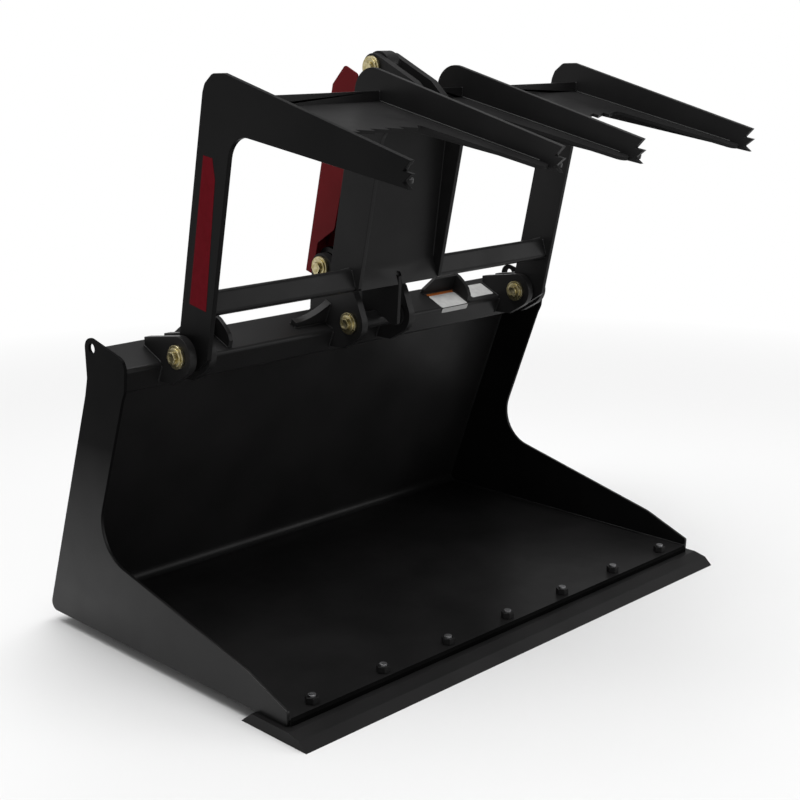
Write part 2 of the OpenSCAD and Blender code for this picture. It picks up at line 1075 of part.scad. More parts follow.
// Folded channel that shields the back of the cylinder
module guard() {
    taper = atan2(guard_web - guard_web_low, guard_end - 110);
    color([0.42, 0.06, 0.08])
        place()
            on_cylinder()
                intersection() {
                    plate(-guard_x - 1, 2 * guard_x + 2)
                        polygon(rounded(guard_side));
                    translate([0, 0, -110])
                        rotate([-taper, 0, 0])
                            translate([0, 0, -guard_end])
                                linear_extrude(guard_end + 110)
                                    difference() {
                                        guard_channel(4);
                                        guard_channel(4 + guard_t);
                                    }
                }
}

bracket_t = 6;
bracket_s = [200, 420];
bracket_low = 20;
bracket_high = 60;

// Cross straps that carry the guard on the barrel
module guard_brackets() {
    x = guard_x - 4 - guard_t;
    color([0.13, 0.13, 0.14])
        place()
            on_cylinder()
                for (s = bracket_s)
                    difference() {
                        translate([-x, bracket_low, -s])
                            cube([2 * x, bracket_high - bracket_low, bracket_t]);
                        along(s - bracket_t - 1, s + 1, barrel_r + weld);
                    }
}

side_plate_left();
side_plate_right();
floor_back_sheet();
base_edge();
cutting_edge();
edge_bolts();
edge_nuts();
wear_runners();
top_tube();
hinge_ears_left();
hinge_ears_centre();
hinge_ears_right();
tube_gussets();
hinge_pin_left();
hinge_pin_centre();
hinge_pin_right();
base_pin();
mount_plate();
mount_hook();
mount_flange();
mount_ribs();
tine_outer_left();
tine_inner_left();
tine_inner_right();
tine_outer_right();
tine_bushes();
cross_tube();
front_plate();
cross_plate_left();
cross_plate_centre();
cross_plate_right();
centre_hinge_plates();
centre_sleeve();
cylinder_lugs();
rod_pin();
rod();
rod_eye();
piston();
barrel();
gland();
base_eye();
cylinder_ports();
guard();
guard_brackets();
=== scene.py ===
# %% [markdown]
# # A scrap grapple, dressed for its portrait
# The frame of this loader grapple is already exact: every plate, tube and pin was
# drawn in CAD and packed. What is left for Blender is what a camera notices next:
# the softened edges of cut plate, the weld beads, the powder coat and the light.
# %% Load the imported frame
import json
import math

import bpy
from mathutils import Matrix, Vector


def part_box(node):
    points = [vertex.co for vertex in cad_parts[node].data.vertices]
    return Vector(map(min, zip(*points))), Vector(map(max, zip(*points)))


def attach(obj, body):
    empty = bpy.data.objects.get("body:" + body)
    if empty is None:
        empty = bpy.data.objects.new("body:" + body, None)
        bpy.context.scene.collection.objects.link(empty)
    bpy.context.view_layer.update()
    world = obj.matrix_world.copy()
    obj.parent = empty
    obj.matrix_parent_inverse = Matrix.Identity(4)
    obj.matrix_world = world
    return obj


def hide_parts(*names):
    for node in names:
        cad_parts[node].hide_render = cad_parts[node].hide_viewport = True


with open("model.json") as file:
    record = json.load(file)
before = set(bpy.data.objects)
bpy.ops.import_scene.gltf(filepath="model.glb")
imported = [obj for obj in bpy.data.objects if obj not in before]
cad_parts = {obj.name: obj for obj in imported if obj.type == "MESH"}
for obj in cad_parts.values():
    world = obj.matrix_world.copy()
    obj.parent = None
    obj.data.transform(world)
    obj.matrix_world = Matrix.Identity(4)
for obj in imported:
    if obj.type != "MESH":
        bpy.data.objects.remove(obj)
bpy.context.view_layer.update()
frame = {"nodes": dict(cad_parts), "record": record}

# %% [markdown]
# ## The camera
# A likeness starts with the viewpoint. The photograph was taken from the front left
# corner, a little above the lifting eyes, with a medium long lens. The angles below
# were found by lining up known corners of the bucket, so they are kept as plain
# azimuth, elevation and roll and turned into one rotation.
# %% Set up the camera
deg = math.radians
camera_place = Vector((-2.5114, -2.4955, 1.4591))
camera_azimuth = deg(-44.82)
camera_elevation = deg(14.46)
camera_roll = deg(-0.39)
focal_length = 63.55
sensor_width = 36
view_depth = 60

bpy.ops.object.select_all(action="DESELECT")
lens = bpy.data.cameras.new("portrait_lens")
lens.sensor_width = sensor_width
lens.lens = focal_length
lens.clip_end = view_depth
camera = bpy.data.objects.new("portrait_camera", lens)
bpy.context.collection.objects.link(camera)
heading = Matrix.Rotation(camera_azimuth, 4, "Z")
tilt = Matrix.Rotation(deg(90) - camera_elevation, 4, "X")
roll = Matrix.Rotation(camera_roll, 4, "Z")
camera.matrix_world = Matrix.Translation(camera_place) @ heading @ tilt @ roll
bpy.context.scene.camera = camera
print("camera at", tuple(round(v, 3) for v in camera_place))

# %% [markdown]
# ## Small helpers for metal
# Node materials repeat the same few moves, so each move gets a short name: make
# noise in object space, map it onto two numbers, blend two colours by it, raise a
# bump. Everything reads object coordinates, because those stay with the piece when
# it moves or is exported.
# %% Material helpers
def new_material(name):
    """A material with a fresh tree: a shader and its output."""
    material = bpy.data.materials.new(name)
    material.use_nodes = True
    tree = material.node_tree
    tree.nodes.clear()
    out = tree.nodes.new("ShaderNodeOutputMaterial")
    shader = tree.nodes.new("ShaderNodeBsdfPrincipled")
    tree.links.new(shader.outputs["BSDF"], out.inputs["Surface"])
    return material, tree, shader


def object_place(tree):
    """The point on the piece that is being shaded."""
    return tree.nodes.new("ShaderNodeTexCoord").outputs["Object"]


def noise(tree, scale, detail=4.0):
    """Noise in object space; scale counts blotches per metre."""
    cloud = tree.nodes.new("ShaderNodeTexNoise")
    cloud.inputs["Scale"].default_value = scale
    cloud.inputs["Detail"].default_value = detail
    tree.links.new(object_place(tree), cloud.inputs["Vector"])
    return cloud.outputs["Fac"]


def spread(tree, value, low, high, start=0.3, end=0.7):
    """Map a value that runs from start to end onto low to high."""
    fit = tree.nodes.new("ShaderNodeMapRange")
    fit.inputs["From Min"].default_value = start
    fit.inputs["From Max"].default_value = end
    fit.inputs["To Min"].default_value = low
    fit.inputs["To Max"].default_value = high
    tree.links.new(value, fit.inputs["Value"])
    return fit.outputs["Result"]


def height_of(tree, place):
    """The Z part of a place or a direction."""
    split = tree.nodes.new("ShaderNodeSeparateXYZ")
    tree.links.new(place, split.inputs[0])
    return split.outputs["Z"]


def blend_colors(tree, value, first, second):
    """Fade between two colours by a 0 to 1 pattern."""
    mix = tree.nodes.new("ShaderNodeMix")
    mix.data_type = "RGBA"
    mix.inputs["A"].default_value = (*first, 1)
    mix.inputs["B"].default_value = (*second, 1)
    tree.links.new(value, mix.inputs["Factor"])
    return mix.outputs["Result"]


def bump(tree, shader, height, depth, strength):
    """Raise the surface by a pattern, depth in metres."""
    node = tree.nodes.new("ShaderNodeBump")
    node.inputs["Strength"].default_value = strength
    node.inputs["Distance"].default_value = depth
    tree.links.new(height, node.inputs["Height"])
    tree.links.new(node.outputs["Normal"], shader.inputs["Normal"])


print("material helpers ready")

# %% [markdown]
# ## Powder coat
# Attachments like this are baked with a satin black powder. It is never one flat
# tone: the film is a little thicker in places, so its gloss drifts over a hand's
# width, and up close it has the fine orange peel of fused powder. The colour drifts
# with one wide noise, the gloss with another, and a tight noise drives the bump.
# The guard's dark red and the weld beads are coated the same way.
# %% Black and red coats
colour_drift = 5
gloss_drift = 11
peel_scale = 420
peel_depth = 0.00012
# Heights in metres over which the side plates' painted reflection fades out upward.
painted_sheen_bottom = 0.1
painted_sheen_top = 0.52


def powder_coat(name, dark, light, gloss, sheen, painted_low_sheen=None):
    """A baked film; given a low sheen, a painted reflection fades from it to sheen upward.
    """
    material, tree, shader = new_material(name)
    shader.inputs["Specular IOR Level"].default_value = sheen
    drift = spread(tree, noise(tree, colour_drift), 0, 1)
    tree.links.new(blend_colors(tree, drift, dark, light), shader.inputs["Base Color"])
    tree.links.new(spread(tree, noise(tree, gloss_drift), gloss - 0.05, gloss + 0.06),
                   shader.inputs["Roughness"])
    bump(tree, shader, noise(tree, peel_scale, detail=2), peel_depth, strength=0.35)
    # Painted reflection: the specular level is set by height.
    if painted_low_sheen is not None:
        shine = spread(tree, height_of(tree, object_place(tree)), painted_low_sheen, sheen,
                       start=painted_sheen_bottom, end=painted_sheen_top)
        tree.links.new(shine, shader.inputs["Specular IOR Level"])
    return material


film_dark = (0.0075, 0.0074, 0.0075)
film_light = (0.0115, 0.0112, 0.0114)
black_coat = powder_coat("black_coat", film_dark, film_light, gloss=0.36, sheen=0.1)
edge_coat = powder_coat("edge_coat", film_dark, film_light, gloss=0.4, sheen=0.1)
red_coat = powder_coat("red_coat", (0.068, 0.0024, 0.0036), (0.1, 0.004, 0.006),
                       gloss=0.38, sheen=0.05)
weld_coat = powder_coat("weld_coat", (0.003, 0.003, 0.0032), (0.006, 0.006, 0.0062),
                        gloss=0.34, sheen=0.2)
print("coats", black_coat.name, edge_coat.name, red_coat.name, weld_coat.name)

# %% [markdown]
# A few plates get a film of their own. In the photograph the side plates are nearly
# black at the top and clearly greyer near the ground, where they mirror the floor, so
# their darker film is painted shade and carries a painted reflection that fades upward.
# The tines get a lighter film with less sheen as painted light, apart from the outer
# left one, whose darker film is painted shade. The last film is painted shade for the
# floor's front step.
# %% Films with painted light and shade
# Painted shade and a painted reflection near the ground on the side plates.
side_shade_coat = powder_coat("side_shade_coat", (0.0028, 0.0028, 0.0029), (0.0045, 0.0044, 0.0045),
                        gloss=0.36, sheen=0.015, painted_low_sheen=0.24)
# Painted light: the grapple's film is lighter than the bucket's, with less sheen.
grapple_painted_light_coat = powder_coat("grapple_painted_light_coat", (0.0085, 0.0084, 0.0085),
                           (0.013, 0.0128, 0.013), gloss=0.36, sheen=0.07)
# Painted shade: the outer left tine's film is darker.
left_tine_shade_coat = powder_coat("left_tine_shade_coat", (0.0032, 0.0032, 0.0033),
                             (0.005, 0.0049, 0.005), gloss=0.36, sheen=0.04)
# Painted shade for the front of the floor's step.
step_shade_coat = powder_coat("step_shade_coat", (0.0012, 0.0012, 0.0012), (0.003, 0.003, 0.003),
                        gloss=0.6, sheen=0.01)
print("films", side_shade_coat.name, grapple_painted_light_coat.name, left_tine_shade_coat.name, step_shade_coat.name)

# %% [markdown]
# ## Plated pins and bare steel
# The pin heads are zinc plated and passivated, which gives a golden metal that is
# mottled where the bath ran. Bare steel parts, such as the bushes, are grey with
# fine turning marks, and the cylinder rod is polished chrome.
# %% Metals
turning_scale = 900
turning_depth = 0.00005


def plated(name, first, second, gloss, grain):
    """A mottled metal; grain counts its blotches per metre."""
    material, tree, shader = new_material(name)
    shader.inputs["Metallic"].default_value = 1
    mottle = spread(tree, noise(tree, grain), 0, 1)
    tree.links.new(blend_colors(tree, mottle, first, second), shader.inputs["Base Color"])
    tree.links.new(spread(tree, noise(tree, grain * 3), gloss - 0.06, gloss + 0.1),
                   shader.inputs["Roughness"])
    bump(tree, shader, noise(tree, turning_scale, detail=2), turning_depth, strength=0.3)
    return material


gold_zinc = plated("gold_zinc", (0.3, 0.25, 0.1), (0.56, 0.5, 0.32), gloss=0.3, grain=110)
plain_steel = plated("plain_steel", (0.16, 0.16, 0.165), (0.26, 0.26, 0.265),
                     gloss=0.4, grain=30)
chrome = plated("chrome", (0.55, 0.56, 0.58), (0.62, 0.63, 0.65), gloss=0.12, grain=8)
print("metals", gold_zinc.name, plain_steel.name, chrome.name)

# %% [markdown]
# ## Studio floor
# The object stands on a seamless pale sweep. Close by it is plain matt paint with a
# faint drift in its tone, which takes the soft shadows. Farther out it fades into an
# even white glow, so that no horizon line shows behind the machine.
# %% Floor
floor_size = 60
floor_drift = 0.4
paint_reach = 1.0
glow_reach = 4.0


def studio_floor():
    """A wide plane: paint round the object, a plain glow beyond it."""
    bpy.ops.mesh.primitive_plane_add(size=floor_size, location=(0, 0, 0))
    floor = bpy.context.object
    floor.name = "studio_floor"
    material, tree, shader = new_material("pale_floor")
    shader.inputs["Specular IOR Level"].default_value = 0.1
    shader.inputs["Roughness"].default_value = 0.7
    tone = spread(tree, noise(tree, floor_drift), 0, 1)
    tree.links.new(blend_colors(tree, tone, (0.74, 0.74, 0.74), (0.76, 0.76, 0.76)),
                   shader.inputs["Base Color"])
    reach = tree.nodes.new("ShaderNodeVectorMath")
    reach.operation = "LENGTH"
    tree.links.new(object_place(tree), reach.inputs[0])
    far = spread(tree, reach.outputs["Value"], 0, 1, start=paint_reach, end=glow_reach)
    glow = tree.nodes.new("ShaderNodeEmission")
    both = tree.nodes.new("ShaderNodeMixShader")
    out = next(node for node in tree.nodes if node.type == "OUTPUT_MATERIAL")
    tree.links.new(far, both.inputs["Fac"])
    tree.links.new(shader.outputs["BSDF"], both.inputs[1])
    tree.links.new(glow.outputs["Emission"], both.inputs[2])
    tree.links.new(both.outputs["Shader"], out.inputs["Surface"])
    floor.data.materials.append(material)


studio_floor()
print("floor", floor_size, "m wide")

# %% [markdown]
# ## Soft light
# A black film mirrors every lamp, so there are only two, both large and soft: a wide
# one overhead and a weaker one from the front right, which opens up the faces that
# look forward. The room is white round the horizon and dim overhead, because steel
# that faces up would otherwise mirror the ceiling as grey.
# %% Lights and world
lit_middle = Vector((0, 0, 0.6))
horizon_strength = 1.0
ceiling_strength = 0.3
horizon_end = 0.12
ceiling_start = 0.4


def soft_lamp(name, place, width, watts):
    """A square area lamp turned to the middle of the machine."""
    lamp = bpy.data.lights.new(name, "AREA")
    lamp.shape = "SQUARE"
    lamp.size = width
    lamp.energy = watts
    holder = bpy.data.objects.new(name, lamp)
    bpy.context.collection.objects.link(holder)
    holder.location = place
    away = Vector(place) - lit_middle
    holder.rotation_euler = away.to_track_quat("Z", "Y").to_euler()


def white_room():
    """A world that is brightest along the horizon."""
    world = bpy.data.worlds.new("white_room")
    bpy.context.scene.world = world
    world.use_nodes = True
    tree = world.node_tree
    room = tree.nodes["Background"]
    room.inputs["Color"].default_value = (1, 1, 1, 1)
    direction = tree.nodes.new("ShaderNodeTexCoord").outputs["Generated"]
    fade = spread(tree, height_of(tree, direction), horizon_strength, ceiling_strength,
                  start=horizon_end, end=ceiling_start)
    tree.links.new(fade, room.inputs["Strength"])


soft_lamp("top_light", (-0.3, 0.3, 4.5), width=4, watts=262)
soft_lamp("right_light", (3.5, -3.5, 2.4), width=3, watts=75)
white_room()
bpy.context.scene.view_settings.view_transform = "Standard"
print("lamps", len(bpy.data.lights), "world", bpy.context.scene.world.name)

# %% [markdown]
# ## Easing the edges
# Real plate is cut by plasma, ground and coated, so no edge is sharp: each carries a
# small radius that catches the light. The CAD solids have perfect corners. The fix
# is a copy of each node's mesh, welded together and cleaned to large flat faces,
# with a bevel run along every real corner. The copy is hung on the node's body and
# the node is hidden. The bent sheet and the cutting edge are exceptions: the fold of
# the one is shaded as one curve, and the shallow bevel of the other is kept as a crisp
# line.
# %% Eased copies of the CAD pieces
merge_gap = 0.00001
flat_angle = 0.5
edge_radius = 0.0014
usual_corner = 35
smooth_margin = 3
corner_of_node = {"floor_back_sheet": 63, "cutting_edge": 12}
# Nodes whose film carries painted shade; the side plates' also a painted reflection.
coat_of_node = {
    "side_plate_left": side_shade_coat, "side_plate_right": side_shade_coat,
    "tine_outer_left": left_tine_shade_coat,
}
coat_of_slot = {
    "black_paint": black_coat, "edge_steel": edge_coat, "red_paint": red_coat,
    "zinc_pin": gold_zinc, "plain_steel": plain_steel, "chrome_rod": chrome,
}
slot_of = {part["node"]: part["material_slot"] for part in frame["record"]["subparts"]}


def body_of_node(node):
    """The rigid body that a CAD node belongs to."""
    for body, members in frame["record"]["behaviour"]["bodies"].items():
        if node in members:
            return body


def coat_for(node):
    """A node's painted shade film, or its slot's film; grapple black gets painted light."""
    if node in coat_of_node:
        return coat_of_node[node]
    coat = coat_of_slot[slot_of[node]]
    # The grapple's black takes the film with painted light.
    if coat == black_coat and body_of_node(node) == "grapple":
        return grapple_painted_light_coat
    return coat


def eased(node):
    """Copy a CAD node with its corners rounded, hang the copy on its body and hide the
    node.
    """
    corner = corner_of_node.get(node, usual_corner)
    source = frame["nodes"][node]
    bpy.ops.object.select_all(action="DESELECT")
    piece = source.copy()
    piece.data = source.data.copy()
    piece.name = node + "_coated"
    bpy.context.collection.objects.link(piece)
    piece.select_set(True)
    bpy.context.view_layer.objects.active = piece
    bpy.ops.object.mode_set(mode="EDIT")
    bpy.ops.mesh.select_all(action="SELECT")
    bpy.ops.mesh.remove_doubles(threshold=merge_gap)
    bpy.ops.mesh.dissolve_limited(angle_limit=deg(flat_angle))
    bpy.ops.object.mode_set(mode="OBJECT")
    soften = piece.modifiers.new("edge radius", "BEVEL")
    soften.width = edge_radius
    soften.segments = 2
    soften.limit_method = "ANGLE"
    soften.angle_limit = deg(corner)
    bpy.ops.object.modifier_apply(modifier=soften.name)
    bpy.ops.object.shade_smooth_by_angle(angle=deg(corner - smooth_margin))
    level = piece.modifiers.new("flat faces stay flat", "WEIGHTED_NORMAL")
    level.keep_sharp = True
    level.weight = 60
    bpy.ops.object.modifier_apply(modifier=level.name)
    piece.data.materials.clear()
    piece.data.materials.append(coat_for(node))
    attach(piece, body_of_node(node))
    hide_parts(node)
    return piece


coated = {node: eased(node) for node in slot_of}
print("eased", len(coated), "nodes")

# %% [markdown]
# One face gets painted shade: the front of the welded base edge, the step that scrap
# slides against. It is the darkest line on the bucket, so its forward faces get the
# dark, dull film of painted shade as their second material.
# %% Painted shade on the step in front of the floor
facing_forward = -0.35
base_edge = coated["base_edge"]
# Painted shade: the forward faces get the dark, dull film.
base_edge.data.materials.append(step_shade_coat)
darkened = [face for face in base_edge.data.polygons if face.normal.y < facing_forward]
for face in darkened:
    face.material_index = 1
print("grimy faces", len(darkened))

# %% [markdown]
# ## Finding places on the machine
# All further pieces are small and sit on known plates, so their places are given as
# in the side view drawing: x across, then distance to the rear and height, in
# millimetres. The drawing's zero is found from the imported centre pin, which lies on
# the hinge line. The top tube, the cross plates and the back lie at a slant, so each
# gets its own pair of directions: one along its face, one off that face.
# %% Side view places
hinge_line = (-312, 746)
tube_corner = (-252.5, 720)
tube_slope = deg(25)
web_corner = (-488, 1310)
web_slope = deg(12.8)
back_corner = (129.4, 59)
back_lean = deg(20.7)
pin_low, pin_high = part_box("hinge_pin_centre")
zero_y = (pin_low.y + pin_high.y) / 2 - hinge_line[0] / 1000


def seat(x, y, z):
    """A side view place in millimetres, as a point of the frame in metres."""
    return Vector((x / 1000, y / 1000 + zero_y, z / 1000))


def tube_seat(x, up, off):
    """A place on the tube's top face: up the slope from its front corner, and off it."""
    return seat(x, tube_corner[0] + up * math.cos(tube_slope) - off * math.sin(tube_slope),
                tube_corner[1] + up * math.sin(tube_slope) + off * math.cos(tube_slope))


def web_seat(x, run, off):
    """A place on the cross plates: down their slope from the rear strip, and off them."""
    return seat(x, web_corner[0] - run * math.cos(web_slope) - off * math.sin(web_slope),
                web_corner[1] - run * math.sin(web_slope) + off * math.cos(web_slope))


def back_seat(x, rear, up):
    """A place on the leaning back: to the rear of the side plates' edge, and up it."""
    return seat(x, back_corner[0] + rear * math.cos(back_lean) - up * math.sin(back_lean),
                back_corner[1] + rear * math.sin(back_lean) + up * math.cos(back_lean))


print("side view zero", round(zero_y, 4))

# %% [markdown]
# ## Weld beads
# Everything here is held together by fillet welds, and their even ripples are what
# tells real plate work from a drawing. A bead is one small round ripple, repeated by
# an array modifier from one end of the seam to the other, or spun once round a pipe.
# The ripples overlap by more than half, as puddles do, and half of each is buried in
# the corner. Their sizes are radii in millimetres.
# %% Weld bead helpers
plate_ripple = 3.6
tine_ripple = 3.2
pipe_ripple = 3.0
ripple_step = 0.95
ripple_sides = 8
ripple_rings = 5
ripple_smooth = 50


def ripple_at(place, radius):
    """One ripple of a bead."""
    bpy.ops.object.select_all(action="DESELECT")
    bpy.ops.mesh.primitive_uv_sphere_add(
        segments=ripple_sides, ring_count=ripple_rings, radius=radius / 1000,
        location=place)
    return bpy.context.object


def bead(start, end, radius=plate_ripple):
    """A row of overlapping ripples along a straight seam between two points."""
    run = end - start
    ripple = ripple_at(start, radius)
    row = ripple.modifiers.new("row of ripples", "ARRAY")
    row.use_relative_offset = False
    row.use_constant_offset = True
    row.count = max(2, round(run.length * 1000 / (radius * ripple_step)))
    row.constant_offset_displace = run / (row.count - 1)
    bpy.ops.object.modifier_apply(modifier=row.name)
    bpy.ops.object.transform_apply(location=True, rotation=True, scale=True)
    return ripple


def ring_bead(centre, ring):
    """Ripples once round a pipe that crosses a plate; the ring faces along X."""
    ripple = ripple_at(centre + Vector((0, 0, ring / 1000)), pipe_ripple)
    count = round(2 * math.pi * ring / (pipe_ripple * ripple_step))
    bpy.ops.object.transform_apply(location=True, rotation=True, scale=True)
    bpy.ops.object.mode_set(mode="EDIT")
    bpy.ops.mesh.select_all(action="SELECT")
    bpy.ops.mesh.spin(steps=count, dupli=True, angle=2 * math.pi * (count - 1) / count,
                      center=centre, axis=(1, 0, 0))
    bpy.ops.object.mode_set(mode="OBJECT")
    return ripple


def join_welds(name, body, beads):
    """Join finished beads into one painted piece that rides on a body."""
    bpy.ops.object.select_all(action="DESELECT")
    for run in beads:
        run.select_set(True)
    bpy.context.view_layer.objects.active = beads[0]
    bpy.ops.object.join()
    seam = bpy.context.object
    seam.name = name
    seam.data.name = name
    bpy.ops.object.transform_apply(location=True, rotation=True, scale=True)
    bpy.ops.object.shade_smooth_by_angle(angle=deg(ripple_smooth))
    seam.data.materials.clear()
    seam.data.materials.append(weld_coat)
    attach(seam, body)
    print(name, len(seam.data.polygons), "faces")


print("bead ripples", plate_ripple, tine_ripple, pipe_ripple, "mm")

# %% [markdown]
# The bucket is sealed by long beads: along the floor and up the back inside both side
# plates, round the tube's ends, and under the tube where it closes the back sheet.
# %% Bucket seams
inner_wall = 740
tube_face = 70
tube_bend = 8
top_end = 102
underside_end = 100
floor_line = [(-800, 44.3), (-646, 43.5), (95, 42.3), (108, 49), (113, 62), (-128, 696)]
beads = []
for side in (-1, 1):
    wall = inner_wall * side
    for low, high in zip(floor_line, floor_line[1:]):
        beads.append(bead(seat(wall, *low), seat(wall, *high)))
join_welds("inside_corner_welds", "bucket", beads)

back_top_lines = [(-130, 700), (-134.5, 726)]
beads = [bead(seat(-inner_wall, *line), seat(inner_wall, *line)) for line in back_top_lines]
for side in (-1, 1):
    wall = inner_wall * side
    beads.append(bead(tube_seat(wall, tube_bend, 0), tube_seat(wall, top_end, 0)))
    beads.append(bead(tube_seat(wall, 0, -tube_bend),
                      tube_seat(wall, 0, tube_bend - tube_face)))
    beads.append(bead(tube_seat(wall, tube_bend, -tube_face),
                      tube_seat(wall, underside_end, -tube_face)))
join_welds("tube_end_welds", "bucket", beads)

# %% [markdown]
# Each hinge ear is welded on both faces where it crosses the tube's top and front,
# and the gussets and tine rests get a bead along both faces too.
# %% Ear and rib seams
centre_ear = (75, 95)
centre_ear_reach = 100
outer_ears = (559, 579, 616, 636)
outer_ear_reach = 76
ear_drop = 48
gusset = (38, 58)
gusset_end = 198
gusset_foot, gusset_top = 2, 55
rests = (424, -436)
rest_thickness = 12
rest_front, rest_rear = 14, 84
rest_rib = (76, 86)
rest_rib_length = 116
beads = []
for side in (-1, 1):
    for ear in centre_ear + outer_ears:
        face = side * ear
        reach = centre_ear_reach if ear in centre_ear else outer_ear_reach
        beads.append(bead(tube_seat(face, tube_bend, 0), tube_seat(face, reach, 0)))
        beads.append(bead(tube_seat(face, 0, -tube_bend), tube_seat(face, 0, -ear_drop)))
    inner_ear = side * centre_ear[1]
    for up in gusset:
        beads.append(bead(tube_seat(inner_ear + 2 * side, up, 0),
                          tube_seat(side * gusset_end, up, 0)))
        beads.append(bead(tube_seat(inner_ear, up, gusset_foot),
                          tube_seat(inner_ear, up, gusset_top)))
for inner in rests:
    for face in (inner, inner + rest_thickness):
        beads.append(bead(tube_seat(face, rest_front, 0), tube_seat(face, rest_rear, 0)))
    for up in rest_rib:
        beads.append(bead(tube_seat(inner - rest_rib_length, up, 0),
                          tube_seat(inner, up, 0)))
join_welds("ear_and_rib_welds", "bucket", beads)

# %% [markdown]
# On the outside the quick attach frame is welded to the back sheet all round, the
# sheet is welded to both side plates, and the runners under the floor are stitched
# with short beads.
# %% Mounting and runner seams
sheet_rear = -8
mount_end, mount_flat = 584.5, 574
mount_bottom, mount_top = 60, 524
wall_bottom, wall_top = 8, 700
runners = (-520, 0, 520)
runner_half = 38
runner_top = 34
runner_front, runner_rear = -560, 40
stitch = 45
stitch_pitch = 150
beads = []
for side in (-1, 1):
    rib = mount_end * side
    wall = inner_wall * side
    beads.append(bead(back_seat(rib, sheet_rear, mount_bottom + 2),
                      back_seat(rib, sheet_rear, mount_top - 2)))
    beads.append(bead(back_seat(wall, sheet_rear, wall_bottom),
                      back_seat(wall, sheet_rear, wall_top)))
for up in (mount_top, mount_bottom):
    beads.append(bead(back_seat(-mount_flat, sheet_rear, up),
                      back_seat(mount_flat, sheet_rear, up)))
for runner in runners:
    for face in (runner - runner_half, runner + runner_half):
        for start in range(runner_front, runner_rear, stitch_pitch):
            beads.append(bead(seat(face, start, runner_top),
                              seat(face, start + stitch, runner_top)))
join_welds("mounting_welds", "bucket", beads)

# %% [markdown]
# ## Grapple seams
# The tines hold the cross plates, the cross tube and the front plate between them, so
# every bay is welded to the tines on both sides.
# %% Cross plate seams
outer_tine = 597.5
inner_tine = 143
half_plate = 6.25
web_thickness = 8
web_start, web_end = 4, 500
strip_foot, strip_top = (-488, 1312), (-488, 1332)
bays = [(-outer_tine + half_plate, -inner_tine - half_plate),
        (-inner_tine + half_plate, inner_tine - half_plate),
        (inner_tine + half_plate, outer_tine - half_plate)]
beads = []
for bay in bays:
    for face in bay:
        for off in (0, -web_thickness):
            beads.append(bead(web_seat(face, web_start, off),
                              web_seat(face, web_end, off), radius=tine_ripple))
        beads.append(bead(seat(face, *strip_foot), seat(face, *strip_top),
                          radius=tine_ripple))
join_welds("cross_plate_welds", "grapple", beads)

# %% [markdown]
# The cross tube, the front plate and the cylinder lugs come next. The tube reaches
# past the inner tines at its rear and underside, so there it has beads only on its
# front and top.
# %% Cross tube, front plate and lug seams
cross_corners = [(-397, 849), (-381, 903), (-323.5, 886), (-339.5, 832)]
cross_sides = list(zip(cross_corners, cross_corners[1:] + cross_corners[:1]))
front_and_top = cross_sides[:2]
front_plate_lines = [((-387, 905), (-441, 1282)), ((-377, 907), (-431, 1288))]
lug_faces = (-40, -20, 20, 40)
lug_top, lug_bottom = (-431, 1285), (-416, 1188)
lug_on_web = 44
hinge_plate_half = 5
hinge_plate_front, hinge_plate_rear = (-390, 847), (-343, 833)
bush_ring = 26
end_gap = 0.14
beads = []
for bay in bays:
    for face in bay:
        at_inner_tine = abs(face) <= inner_tine + half_plate
        for low, high in front_and_top if at_inner_tine else cross_sides:
            start, end = seat(face, *low), seat(face, *high)
            beads.append(bead(start.lerp(end, end_gap), start.lerp(end, 1 - end_gap),
                              radius=tine_ripple))
for face in bays[1]:
    for low, high in front_plate_lines:
        beads.append(bead(seat(face, *low), seat(face, *high)))
for face in lug_faces:
    beads.append(bead(seat(face, *lug_top), seat(face, *lug_bottom)))
    beads.append(bead(web_seat(face, web_start, 0), web_seat(face, lug_on_web, 0)))
for face in (-hinge_plate_half, hinge_plate_half):
    beads.append(bead(seat(face, *hinge_plate_front), seat(face, *hinge_plate_rear)))
for side in (-1, 1):
    for face in (outer_tine - half_plate, outer_tine + half_plate):
        beads.append(ring_bead(seat(face * side, *hinge_line), bush_ring))
join_welds("grapple_frame_welds", "grapple", beads)

# %% [markdown]
# ## Pin heads
# Each pin is kept from turning by a flanged bolt in its head, plated with it. The
# bolt is a six sided cylinder whose rim is beveled and whose top face is inset and
# pressed in a little, on a round flange. It stands on the head that the CAD gives.
# %% Flanged bolts on the pins
flange_sides = 40
flange_radius = 0.0225
flange_height = 0.003
flange_rim = 0.0008
hexagon_radius = 0.0165
hexagon_height = 0.009
hexagon_rim = 0.0012
recess_border = 0.003
recess_slope = 0.002
recess_depth = 0.001
facing_left = -0.9
bolt_corner = 30
bolt_smooth = 32


def lying_cylinder(sides, radius, height, base):
    """A cylinder that stands on a base point and looks along -X."""
    bpy.ops.mesh.primitive_cylinder_add(
        vertices=sides, radius=radius, depth=height,
        location=base + Vector((-height / 2, 0, 0)), rotation=(0, deg(-90), 0))
    bpy.ops.object.transform_apply(location=True, rotation=True, scale=True)
    return bpy.context.object


